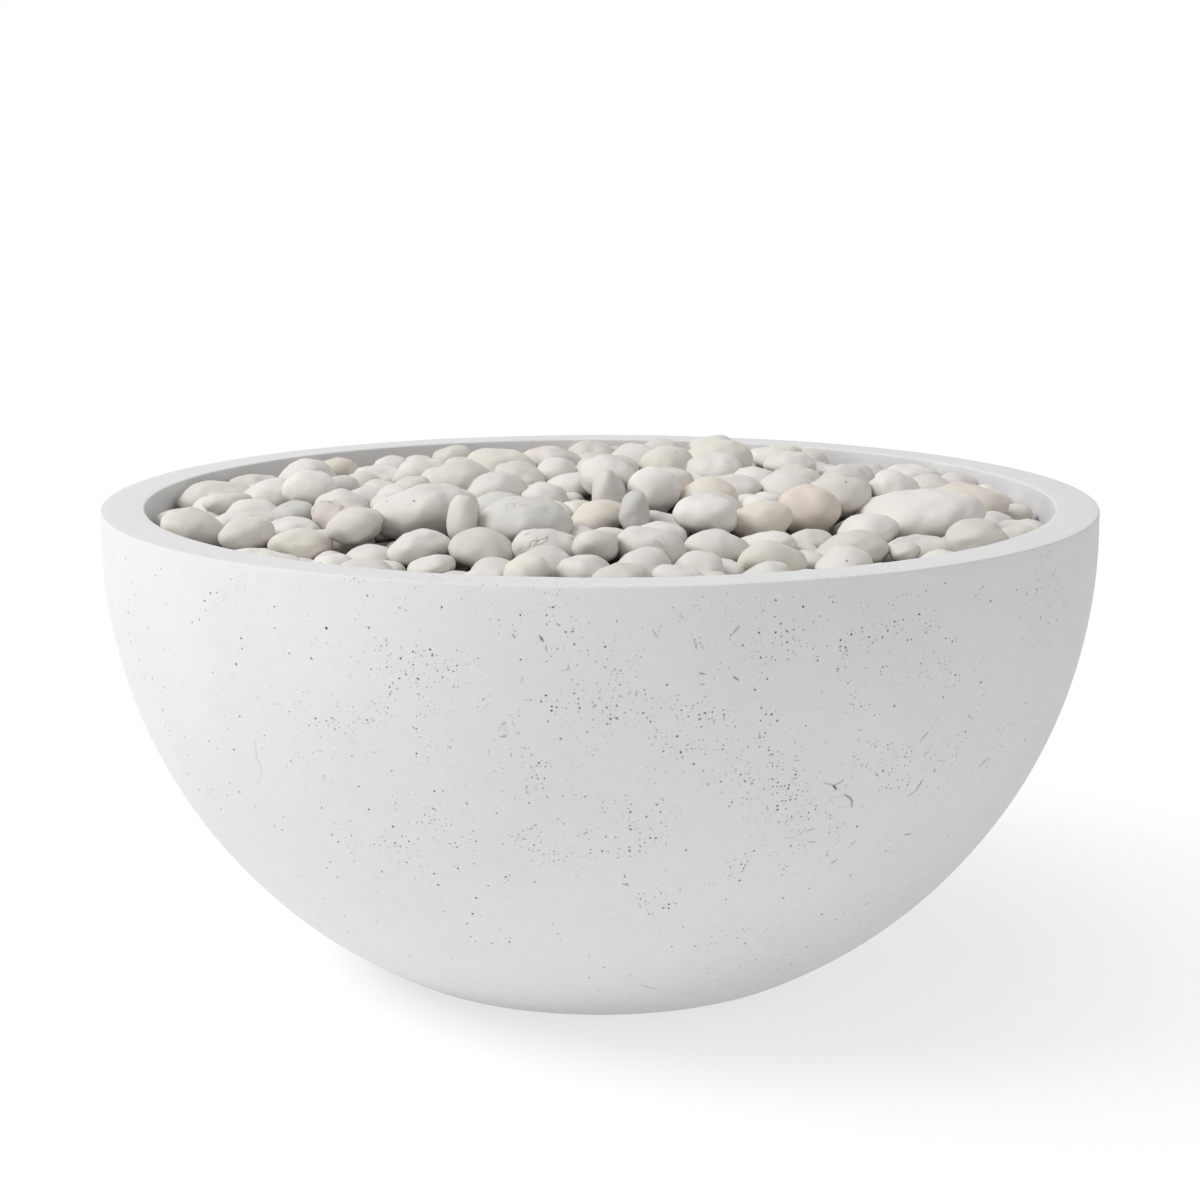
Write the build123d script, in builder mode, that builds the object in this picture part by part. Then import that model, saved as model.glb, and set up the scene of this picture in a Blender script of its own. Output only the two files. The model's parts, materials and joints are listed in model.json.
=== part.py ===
from build123d import *
import math
import os
import random

import numpy as np
from scipy.spatial import ConvexHull

# A cast concrete fire bowl for gas, match lit, with a bed of tumbled stones.
# Millimetres, +Z up. The origin is on the floor, under the bowl's centre.

# Bowl
bowl_diameter = 914.4
foot_diameter = 412.64
lip_height = 25.0
rim_width = 40.0
ledge_depth = 90.0
ledge_width = 32.0
shoulder_drop = 105.0
floor_thickness = 45.0
floor_radius = 195.0
supply_hole_diameter = 100.0

# Rubber pads under the foot
pad_count = 6
pad_length = 60.0
pad_width = 30.0
pad_corner = 6.0
pad_thickness = 2.0
pad_inset = 16.0

# Burner plate that drops onto the ledge
plate_thickness = 3.0
plate_clearance = 3.0
drain_slot_count = 8
drain_slot_length = 30.0
drain_slot_width = 6.0
drain_slot_circle = 270.0

# Welded star burner of square tube, with screwed jets
arm_count = 6
arm_length = 165.0
tube_size = 20.0
tube_wall = 2.0
hub_flats = 60.0
hub_wall = 3.0
cap_thickness = 2.0
jet_flats = 13.0
jet_height = 12.0
jet_first = 55.0
jet_spacing = 75.0
jets_per_arm = 2

# Pipe stub below the burner, and the nut that clamps it to the plate
pipe_radius = 10.65
pipe_bore_radius = 7.9
thread_clearance = 0.15
plate_hole_clearance = 0.6
nut_flats = 32.0
nut_height = 10.0
thread_engagement = 12.0

# Ball valve
valve_length = 80.0
valve_flats = 32.0
valve_end_length = 18.0
valve_barrel_flats = 36.0
barrel_sides = 8
valve_drop = 35.0
inlet_nose_length = 25.0
inlet_bore_depth = 40.0
boss_flats = 18.0
boss_reach = 33.0
stem_radius = 4.0
stem_running_clearance = 0.05
stem_depth = 20.0
stem_end_gap = 0.3
drive_size = 6.0
drive_clearance = 0.1
lever_gap = 0.2
thread_radius = 2.9
lever_nut_flats = 10.0
lever_nut_height = 5.0
thread_tail = 2.0

# Valve lever and its sleeve
lever_thickness = 3.0
lever_width = 16.0
lever_length = 105.0
lever_heel = 11.0
lever_flat = 22.0
lever_joggle = 8.0
lever_joggle_run = 12.0
sleeve_length = 62.0
sleeve_wall = 2.5
sleeve_clearance = 0.2

# Lava rock fill: distance in from its edge, and thickness above the burner plate there
fill_edge_gap = 7.0
fill_sides = 18
fill_profile = ((3.2, 42.0), (110.2, 60.0), (220.2, 73.0), (330.2, 84.0))
fill_clearance = 3.0

# Tumbled stones
stone_seed = 11
stone_tries = 400
stone_length_range = (34.0, 62.0)
stone_aspect_range = (0.72, 0.95)
stone_height_range = (0.55, 0.78)
stone_tilt = 12.0
stone_corners = 12
large_stone_corners = 20
large_stone_length = 78.0
corner_overhang = 1.06
spot_pitch = 9.0
plan_closeness = 0.88
proud_limit = 16.0
wall_clearance = 2.0
seat_gap = 0.3
near_distance = 130.0

# Stones that stand out in the bed: x, y, length, width, height, turn
marked_stones = (
    (-390, -20, 60, 46, 34, -30),
    (-366, 84, 82, 58, 40, 10),
    (-350, 178, 56, 44, 38, 0),
    (-306, 20, 70, 54, 42, 0),
    (-272, -88, 44, 38, 38, 30),
    (-225, -122, 60, 50, 40, 10),
    (-322, -116, 68, 50, 34, 12),
    (-256, -204, 56, 46, 34, 5),
    (-152, -156, 96, 74, 50, 8),
    (-66, -200, 84, 64, 46, -4),
    (-170, 80, 62, 52, 40, 20),
    (-228, 60, 54, 44, 36, 20),
    (-93, 48, 72, 58, 42, -6),
    (-40, 22, 44, 38, 36, 0),
    (-117, -214, 34, 28, 44, 80),
    (-44, -258, 62, 48, 36, 3),
    (42, -272, 62, 50, 38, -5),
    (47, -96, 50, 46, 46, 30),
    (8, -112, 38, 32, 52, 85),
    (30, -174, 34, 30, 44, 75),
    (38, 150, 60, 52, 40, 12),
    (112, 120, 78, 64, 46, -8),
    (139, -172, 60, 46, 38, -14),
    (184, -128, 58, 54, 50, 0),
    (98, -250, 56, 44, 34, 12),
    (210, -230, 68, 52, 36, 4),
    (272, -196, 62, 46, 26, -3),
    (284, -106, 118, 80, 44, -16),
    (338, 10, 88, 64, 42, -10),
    (224, 14, 64, 52, 36, 10),
    (278, 76, 58, 46, 38, -12),
    (350, 150, 58, 42, 40, 40),
    (392, 40, 42, 34, 30, 10),
    (394, -30, 46, 36, 28, -10),
    (123, -20, 62, 48, 34, 8),
)

# Sizes worked out from those above
bowl_radius = bowl_diameter / 2
foot_radius = foot_diameter / 2
foot_z = pad_thickness
sphere_centre_z = foot_z + math.sqrt(bowl_radius**2 - foot_radius**2)
bowl_height = sphere_centre_z + lip_height
opening_radius = bowl_radius - rim_width
chamber_radius = opening_radius - ledge_width
ledge_z = bowl_height - ledge_depth
shoulder_z = ledge_z - shoulder_drop
floor_z = foot_z + floor_thickness
plate_top_z = ledge_z + plate_thickness
plate_radius = opening_radius - plate_clearance
hub_base_z = plate_top_z
tube_base_z = hub_base_z + hub_wall
hub_height = tube_size + 2 * hub_wall
hub_turn = 180 / arm_count
arm_end = hub_flats / 2 + arm_length
jet_base_z = tube_base_z + tube_size
jet_top_z = jet_base_z + jet_height
valve_top_z = ledge_z - valve_drop
valve_base_z = valve_top_z - valve_length
stem_z = valve_top_z - valve_length / 2
pipe_base_z = valve_top_z - thread_engagement
stem_inner_x = boss_reach - stem_depth
lever_x = boss_reach + lever_gap
lever_nut_x = lever_x + lever_thickness
stem_tip_x = lever_nut_x + lever_nut_height + thread_tail
inlet_base_z = valve_base_z - inlet_nose_length
fill_radius = opening_radius - fill_edge_gap
golden_turn = math.pi * (3 - math.sqrt(5))

os.makedirs("parts", exist_ok=True)


def finish(builder, name):
    """Label a finished piece and write it to its own file."""
    builder.part.label = name
    export_step(builder.part, f"parts/{name}.step")


# Bowl: a short upright lip over a spherical wall that is cut flat at the foot
with BuildPart() as bowl:
    with BuildSketch(Plane.XZ):
        with BuildLine():
            foot_angle = -math.degrees(math.asin((sphere_centre_z - foot_z) / bowl_radius))
            outside = CenterArc((0, sphere_centre_z), bowl_radius, foot_angle, -foot_angle)
            Polyline(
                outside @ 1,
                (bowl_radius, bowl_height),
                (opening_radius, bowl_height),
                (opening_radius, ledge_z),
                (chamber_radius, ledge_z),
                (chamber_radius, shoulder_z),
                (floor_radius, floor_z),
                (supply_hole_diameter / 2, floor_z),
                (supply_hole_diameter / 2, foot_z),
                outside @ 0,
            )
        make_face()
    revolve(axis=Axis.Z)
finish(bowl, "concrete_bowl")

# Rubber pads that keep the foot off the floor
with BuildPart() as pads:
    with BuildSketch():
        with PolarLocations(foot_radius - pad_inset - pad_width / 2, pad_count):
            pad_outline = Rectangle(pad_width, pad_length)
        chamfer(pad_outline.vertices(), pad_corner)
    extrude(amount=pad_thickness)
finish(pads, "foot_pads")

# Burner plate, with a hole for the gas pipe and a ring of drain slots
with BuildPart() as plate:
    with BuildSketch(Plane.XY.offset(ledge_z)):
        Circle(plate_radius)
        Circle(pipe_radius + plate_hole_clearance, mode=Mode.SUBTRACT)
        with PolarLocations(drain_slot_circle, drain_slot_count):
            Rectangle(drain_slot_width, drain_slot_length, mode=Mode.SUBTRACT)
    extrude(amount=plate_thickness)
finish(plate, "burner_plate")

# One arm of the burner, with its bore running back into the hub
with BuildPart() as arm:
    with BuildSketch(Plane.YZ.offset(hub_flats / 2)):
        with Locations((0, tube_base_z + tube_size / 2)):
            Rectangle(tube_size, tube_size)
    extrude(amount=arm_length)
with BuildPart() as arm_bore:
    with BuildSketch(Plane.YZ.offset(hub_flats / 2 - hub_wall)):
        with Locations((0, tube_base_z + tube_size / 2)):
            Rectangle(tube_size - 2 * tube_wall, tube_size - 2 * tube_wall)
    extrude(amount=arm_length + hub_wall - cap_thickness)

# Burner: six closed arms on a hollow hub, with the pipe stub below
with BuildPart() as burner:
    with BuildSketch(Plane.XY.offset(hub_base_z)):
        RegularPolygon(hub_flats / 2, arm_count, major_radius=False, rotation=hub_turn)
    extrude(amount=hub_height)
    with BuildSketch(Plane.XY.offset(pipe_base_z)):
        Circle(pipe_radius)
    extrude(amount=hub_base_z - pipe_base_z)
    with PolarLocations(0, arm_count):
        add(arm.part)
        add(arm_bore.part, mode=Mode.SUBTRACT)
    with BuildSketch(Plane.XY.offset(tube_base_z)):
        RegularPolygon(hub_flats / 2 - hub_wall, arm_count, major_radius=False, rotation=hub_turn)
    extrude(amount=tube_size, mode=Mode.SUBTRACT)
    with BuildSketch(Plane.XY.offset(pipe_base_z)):
        Circle(pipe_bore_radius)
    extrude(amount=tube_base_z - pipe_base_z, mode=Mode.SUBTRACT)
finish(burner, "star_burner")

# Brass jets along the top of each arm
with BuildPart() as jets:
    with BuildSketch(Plane.XY.offset(jet_base_z)):
        for k in range(jets_per_arm):
            with PolarLocations(hub_flats / 2 + jet_first + k * jet_spacing, arm_count):
                RegularPolygon(jet_flats / 2, 6, major_radius=False)
    extrude(amount=jet_height)
finish(jets, "burner_jets")

# Nut on the pipe stub, under the plate
with BuildPart() as locknut:
    with BuildSketch(Plane.XY.offset(ledge_z - nut_height)):
        RegularPolygon(nut_flats / 2, 6, major_radius=False)
        Circle(pipe_radius + thread_clearance, mode=Mode.SUBTRACT)
    extrude(amount=nut_height)
finish(locknut, "burner_locknut")

# Valve body: hexagon ends, eight-sided barrel, stem boss, port above and threaded nose below
with BuildPart() as valve:
    with BuildSketch(Plane.XY.offset(valve_base_z)):
        RegularPolygon(valve_flats / 2, 6, major_radius=False)
    extrude(amount=valve_end_length)
    with BuildSketch(Plane.XY.offset(valve_top_z - valve_end_length)):
        RegularPolygon(valve_flats / 2, 6, major_radius=False)
    extrude(amount=valve_end_length)
    with BuildSketch(Plane.XY.offset(valve_base_z + valve_end_length)):
        RegularPolygon(
            valve_barrel_flats / 2, barrel_sides, major_radius=False, rotation=180 / barrel_sides
        )
    extrude(amount=valve_length - 2 * valve_end_length)
    with BuildSketch(Plane.XY.offset(inlet_base_z)):
        Circle(pipe_radius)
    extrude(amount=inlet_nose_length)
    with BuildSketch(Plane.YZ):
        with Locations((0, stem_z)):
            RegularPolygon(boss_flats / 2, 6, major_radius=False)
    extrude(amount=boss_reach)
    with BuildSketch(Plane.YZ.offset(stem_inner_x - stem_end_gap)):
        with Locations((0, stem_z)):
            Circle(stem_radius + stem_running_clearance)
    extrude(amount=stem_depth + stem_end_gap, mode=Mode.SUBTRACT)
    with BuildSketch(Plane.XY.offset(pipe_base_z)):
        Circle(pipe_radius + thread_clearance)
    extrude(amount=thread_engagement, mode=Mode.SUBTRACT)
    with BuildSketch(Plane.XY.offset(inlet_base_z)):
        Circle(pipe_bore_radius)
    extrude(amount=inlet_bore_depth, mode=Mode.SUBTRACT)
finish(valve, "valve_body")

# Stem: round in the boss, square under the lever, threaded at its tip
with BuildPart() as stem:
    with BuildSketch(Plane.YZ.offset(stem_inner_x)):
        with Locations((0, stem_z)):
            Circle(stem_radius)
    extrude(amount=lever_x - stem_inner_x)
    with BuildSketch(Plane.YZ.offset(lever_x)):
        with Locations((0, stem_z)):
            Rectangle(drive_size, drive_size)
            Circle(stem_radius, mode=Mode.INTERSECT)
    extrude(amount=lever_thickness)
    with BuildSketch(Plane.YZ.offset(lever_nut_x)):
        with Locations((0, stem_z)):
            Circle(thread_radius)
    extrude(amount=stem_tip_x - lever_nut_x)
finish(stem, "valve_stem")

# Lever: flat bar with a joggle, driven by the stem's square
with BuildPart() as lever:
    with BuildSketch(Plane.XY.offset(stem_z - lever_width / 2)):
        with BuildLine():
            Polyline(
                (lever_x, -lever_heel),
                (lever_nut_x, -lever_heel),
                (lever_nut_x, lever_flat),
                (lever_nut_x + lever_joggle, lever_flat + lever_joggle_run),
                (lever_nut_x + lever_joggle, lever_length),
                (lever_x + lever_joggle, lever_length),
                (lever_x + lever_joggle, lever_flat + lever_joggle_run),
                (lever_x, lever_flat),
                close=True,
            )
        make_face()
    extrude(amount=lever_width)
    with BuildSketch(Plane.YZ.offset(lever_x)):
        with Locations((0, stem_z)):
            Rectangle(drive_size + 2 * drive_clearance, drive_size + 2 * drive_clearance)
    extrude(amount=lever_thickness, mode=Mode.SUBTRACT)
finish(lever, "valve_lever")

# Vinyl sleeve on the lever's end
with BuildPart() as sleeve:
    with BuildSketch(Plane.XZ.offset(-lever_length - sleeve_wall)):
        with Locations((lever_x + lever_joggle + lever_thickness / 2, stem_z)):
            sleeve_outline = Rectangle(
                lever_thickness + 2 * (sleeve_wall + sleeve_clearance),
                lever_width + 2 * (sleeve_wall + sleeve_clearance),
            )
            chamfer(sleeve_outline.vertices(), sleeve_wall)
    extrude(amount=sleeve_length)
    with BuildSketch(Plane.XZ.offset(-lever_length - sleeve_clearance)):
        with Locations((lever_x + lever_joggle + lever_thickness / 2, stem_z)):
            Rectangle(lever_thickness + 2 * sleeve_clearance, lever_width + 2 * sleeve_clearance)
    extrude(amount=sleeve_length, mode=Mode.SUBTRACT)
finish(sleeve, "lever_sleeve")

# Nut that holds the lever on the stem
with BuildPart() as lever_nut:
    with BuildSketch(Plane.YZ.offset(lever_nut_x)):
        with Locations((0, stem_z)):
            RegularPolygon(lever_nut_flats / 2, 6, major_radius=False)
            Circle(thread_radius + thread_clearance, mode=Mode.SUBTRACT)
    extrude(amount=lever_nut_height)
finish(lever_nut, "lever_nut")


def ring_points(radius, z, count):
    """Points evenly round the bowl's axis."""
    turns = [2 * math.pi * k / count for k in range(count)]
    return [(radius * math.cos(t), radius * math.sin(t), z) for t in turns]


# Lava rock fill: a mound on the plate, with room for the burner beneath
fill_corners = ring_points(fill_radius, plate_top_z, fill_sides)
for inset, thickness in fill_profile:
    fill_corners += ring_points(fill_radius - inset, plate_top_z + thickness, fill_sides)
burner_room_height = jet_top_z + fill_clearance - plate_top_z
with BuildPart() as fill:
    ConvexPolyhedron(fill_corners)
    with BuildSketch(Plane.XY.offset(plate_top_z)):
        with PolarLocations(0, arm_count // 2, angular_range=180):
            Rectangle(2 * (arm_end + fill_clearance), tube_size + 2 * fill_clearance)
        RegularPolygon(
            hub_flats / 2 + fill_clearance, arm_count, major_radius=False, rotation=hub_turn
        )
    extrude(amount=burner_room_height, mode=Mode.SUBTRACT)
finish(fill, "lava_rock_fill")


def turned(corners, turn, tilt, roll):
    """Corners turned about their centre: rolled about X, tilted about Y, then turned about Z."""
    axes = Rotation(roll, 0, 0), Rotation(0, tilt, 0), Rotation(0, 0, turn)
    for axis in axes:
        x_axis, y_axis, z_axis = axis.x_axis.direction, axis.y_axis.direction, axis.z_axis.direction
        corners = corners @ np.array([list(x_axis), list(y_axis), list(z_axis)])
    return corners


def stone_blank(length, width, height, turn, rng):
    """Corners of one tumbled stone about its own centre, spread evenly over a rounded blank."""
    count = large_stone_corners if length >= large_stone_length else stone_corners
    steps = np.arange(count)
    along = 1 - (2 * steps + 1) / count
    around = golden_turn * steps + rng.uniform(0, 2 * math.pi)
    across = np.sqrt(1 - along**2)
    corners = np.column_stack([along, across * np.cos(around), across * np.sin(around)])
    corners *= np.array([length, width, height]) / 2 * corner_overhang
    return turned(corners, turn, rng.uniform(-stone_tilt, stone_tilt), rng.uniform(-stone_tilt, stone_tilt))


def resting_lift(stone, support):
    """How far a stone has to rise, or sink if negative, to rest on a convex support."""
    faces = ConvexHull((stone[:, None, :] - support[None, :, :]).reshape(-1, 3)).equations
    under, over = faces[faces[:, 2] < -1e-9], faces[faces[:, 2] > 1e-9]
    lowest = (-under[:, 3] / under[:, 2]).max()
    highest = (-over[:, 3] / over[:, 2]).min()
    return -lowest if lowest < highest else -math.inf


def lay_stones():
    """Corners of every stone: the marked ones, then others, large to small, in the snuggest spots."""
    rng = random.Random(stone_seed)
    inner_radius = opening_radius - wall_clearance
    steps = np.arange(int((opening_radius / spot_pitch) ** 2 * math.pi)) + 0.5
    spot_radius = opening_radius * np.sqrt(steps / len(steps))
    spot_turn = steps * golden_turn
    spots = spot_radius[:, None] * np.column_stack([np.cos(spot_turn), np.sin(spot_turn)])
    rooms = [inner_radius - spot_radius]
    fill_shape = np.array(fill_corners)
    smallest, largest = stone_length_range
    laid = []
    for k in range(len(marked_stones) + stone_tries):
        marked = k < len(marked_stones)
        if marked:
            x, y, length, width, height, turn = marked_stones[k]
            reach = (length + width) / 4
        else:
            length = largest - (largest - smallest) * (k - len(marked_stones)) / stone_tries
            width = length * rng.uniform(*stone_aspect_range)
            height = width * rng.uniform(*stone_height_range)
            turn = rng.uniform(-90, 90)
            reach = (length + width) / 4
            nearest, second = np.partition(np.array(rooms), 1, axis=0)[:2]
            snugness = np.where(nearest >= reach * plan_closeness, nearest + second, math.inf)
            if math.isinf(snugness.min()):
                continue
            x, y = spots[snugness.argmin()]
        stone = stone_blank(length, width, height, turn, rng) + (x, y, bowl_height)
        overshoot = max(0, np.hypot(stone[:, 0], stone[:, 1]).max() - inner_radius)
        stone[:, :2] -= np.array([x, y]) / math.hypot(x, y) * overshoot
        near = [other for other in laid if math.dist(other.mean(axis=0)[:2], (x, y)) < near_distance]
        fill_lift = resting_lift(stone, fill_shape)
        lift = max([fill_lift] + [resting_lift(stone, other) for other in near])
        if marked or lift - fill_lift <= proud_limit:
            stone[:, 2] += lift + seat_gap
            laid.append(stone)
            rooms.append(np.hypot(spots[:, 0] - x, spots[:, 1] - y) - reach)
    return laid


# Stones, sorted into nodes by ring and by sector
stone_rings = (("outer", 275.0, 6), ("middle", 130.0, 4), ("centre", 0.0, 2))
stone_groups = {}
for corners in lay_stones():
    centre = corners.mean(axis=0)
    ring, _, sectors = next(r for r in stone_rings if math.hypot(*centre[:2]) >= r[1])
    sector = int((math.atan2(centre[1], centre[0]) / (2 * math.pi) % 1) * sectors) + 1
    stone_groups.setdefault(f"stones_{ring}_{sector}", []).append(corners)
for name, group in sorted(stone_groups.items()):
    with BuildPart() as stones:
        for corners in group:
            ConvexPolyhedron(corners.tolist())
    finish(stones, name)
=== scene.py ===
import json
import math
import random

import bmesh
import bpy
import numpy as np
from bpy.props import FloatProperty, FloatVectorProperty, IntProperty, PointerProperty
from mathutils import Matrix, Vector, noise
from mathutils.bvhtree import BVHTree


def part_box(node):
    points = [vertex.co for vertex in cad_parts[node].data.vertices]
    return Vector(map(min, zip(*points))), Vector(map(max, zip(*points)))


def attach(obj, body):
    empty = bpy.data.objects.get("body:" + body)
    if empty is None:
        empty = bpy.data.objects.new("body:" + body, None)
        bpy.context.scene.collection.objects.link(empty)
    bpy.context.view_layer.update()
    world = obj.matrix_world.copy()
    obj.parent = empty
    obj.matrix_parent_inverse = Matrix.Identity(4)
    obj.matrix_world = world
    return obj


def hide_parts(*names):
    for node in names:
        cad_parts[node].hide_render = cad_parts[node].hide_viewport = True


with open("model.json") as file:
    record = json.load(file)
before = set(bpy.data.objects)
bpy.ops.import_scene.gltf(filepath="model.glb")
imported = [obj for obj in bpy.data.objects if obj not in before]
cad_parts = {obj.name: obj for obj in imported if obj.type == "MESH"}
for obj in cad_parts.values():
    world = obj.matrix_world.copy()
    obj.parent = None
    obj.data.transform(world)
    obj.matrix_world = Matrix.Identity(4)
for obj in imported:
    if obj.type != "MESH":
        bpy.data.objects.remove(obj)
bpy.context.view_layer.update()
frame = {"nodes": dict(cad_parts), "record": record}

bl_info = {
    "name": "Concrete fire bowl",
    "version": (1, 0, 0),
    "blender": (4, 5, 0),
    "location": "View3D > Sidebar > Fire bowl",
    "description": "A cast-concrete gas fire bowl with its tumbled stones, burner and valve",
    "category": "Object",
}

# Places that come from the frame, in metres
BODY = "fire_pit"
BOWL_LOW, BOWL_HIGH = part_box("concrete_bowl")
PLATE_LOW, PLATE_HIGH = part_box("burner_plate")
FILL_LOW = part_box("lava_rock_fill")[0]
STONE_NODES = sorted(name for name in frame["nodes"] if name.startswith("stones_"))
SUPPLY_HOLE = next(m for m in frame["record"]["mounts"] if m["name"] == "supply_hole")

# Lengths in metres, unless a comment says otherwise
MERGE_GAP = 0.00002  # corners closer than this are one
EDGE_STEP = 0.0007  # length of the faces round the rim's edges
FOOT_EDGE = 0.003  # height of the worn edge under the foot
WANDER_SIZE = 0.12  # width of the slow waves in the skin
SMOOTH_ANGLE = math.radians(38)  # edges sharper than this stay crisp

# The wall's faces, by the length of their shortest edge
WALL_MARGIN = 0.012  # the edges of foot and rim stay free of air holes
FREE_EDGE = 0.0022  # faces longer than this may have their corners moved
HALVED_EDGE = 0.0045  # faces longer than this may be halved
HOLED_EDGE = 0.0017  # faces longer than this may get an air hole
CORNER_PLAY = 0.36  # how far a corner moves, as a share of its shortest edge
SWAY, SWAY_SIZE = 0.0055, 0.02  # how far the rows of faces are bent, and over what length
SWAY_SEED = 1795791350  # without a seed, noise_vector takes one from the clock

# Air holes
HOLE_SEED = 29
HOLE_CHANCE, TOP_CHANCE = 0.48, 0.5  # chance of a hole in a face, and the most that it may be
CUP_RADIUS = 0.00075  # larger holes are round cups, smaller ones pointed pits
HOLE_FILL, HOLE_RIM = 0.62, 1.35  # a hole's share of its face, and its ragged reach
SMALLEST_HOLE = 0.4  # smallest radius as a share of the largest

# Where the air holes are thick: turn and height of the middle, spread, and what other sides get
BUSY_TURN, BUSY_HEIGHT, BUSY_SPREAD = math.radians(-82), 0.33, 0.15
SIDE_SHARE, BACK_SHARE = 0.32, 0.55
DRIFT_SIZE, CLUSTER_SIZE = 0.06, 0.012
BASE_SHARE = 0.12  # what the whole wall gets
DRIFT_LEVEL, DRIFT_GAIN, CLUSTER_GAIN = 0.62, 1.2, 1.2  # how strongly drifts show

# Stones and pebbles
STONE_SEED, PEBBLE_SEED = 5, 17
NOTED_REACH = 0.015  # a noted stone's centre lies no further than this from its entry
PEBBLE_REACH = 0.024  # half the length of the largest pebble
PEBBLE_FLATNESS, PEBBLE_LEAN, PEBBLE_LIFT = 0.62, 0.35, 0.35
PEBBLE_CLOSENESS = 0.9  # how near two pebbles come, against their reaches added up
WALL_GAP = 0.004  # room between pebbles and wall
PEBBLE_LUMP, PEBBLE_LUMP_DEPTH = 0.018, 0.004
GOLDEN_TURN = math.pi * (3 - math.sqrt(5))  # spreads the places tried evenly over the bed

# Crushed lava rock: size and depth of its lumps, and the grid that carries them
LAVA_LUMP, LAVA_DEPTH, LAVA_GRID = 0.018, 0.006, 0.007

# Studio
FLOOR_RADIUS, FLOOR_DROP = 14, 0.0003
SHADOW_NEAR, SHADOW_FAR = 0.28, 0.88  # where the floor's shadow starts to fade, and is gone
LAMP_AIM, LAMP_OFFSET, LAMP_WIDTH = Vector((0, 0, 0.3)), Vector((-6.04, -1.56, 6.48)), 5.0
SENSOR_MM, FAR_CLIP = 36.0, 60.0


def linear(hex_colour):
    """Linear red, green and blue of an sRGB hex colour."""
    channels = [int(hex_colour[k : k + 2], 16) / 255 for k in (1, 3, 5)]
    return tuple(c / 12.92 if c <= 0.04045 else ((c + 0.055) / 1.055) ** 2.4 for c in channels)


# Tints of the stones, as a box of this grade holds them, with how common each is.
# Those that are never drawn are for noted stones only.
STONE_TINTS = {
    "pale_grey": ("#DCD9D4", 34),
    "warm_grey": ("#D8D4CD", 28),
    "chalk": ("#E3E0DB", 18),
    "cream": ("#DFDAD0", 12),
    "cool_grey": ("#D3D1CC", 8),
    "sand": ("#DCD5CA", 2),
    "peach": ("#DDD2C6", 0),
    "rose": ("#D5CEC8", 0),
    "slate": ("#CAC8C4", 0),
}

# Stones that stand out: x and y of the centre in metres, the tint, and how veined or cracked
NOTED_STONES = (
    (0.184, -0.128, "peach", 0.0),
    (0.139, -0.172, "sand", 0.0),
    (0.112, 0.120, "cream", 0.0),
    (0.338, 0.010, "sand", 0.3),
    (0.284, -0.106, "chalk", 0.0),
    (0.224, 0.014, "cool_grey", 0.0),
    (0.030, -0.174, "slate", 0.0),
    (0.008, -0.112, "cool_grey", 0.0),
    (0.042, -0.272, "pale_grey", 0.3),
    (-0.225, -0.122, "rose", 1.0),
    (-0.066, -0.200, "cool_grey", 0.4),
    (-0.044, -0.258, "pale_grey", 0.9),
    (-0.152, -0.156, "pale_grey", 0.0),
    (-0.390, -0.020, "cool_grey", 0.0),
    (-0.366, 0.084, "warm_grey", 0.0),
    (-0.093, 0.048, "cream", 0.0),
    (-0.256, -0.204, "cream", 0.0),
)

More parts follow.
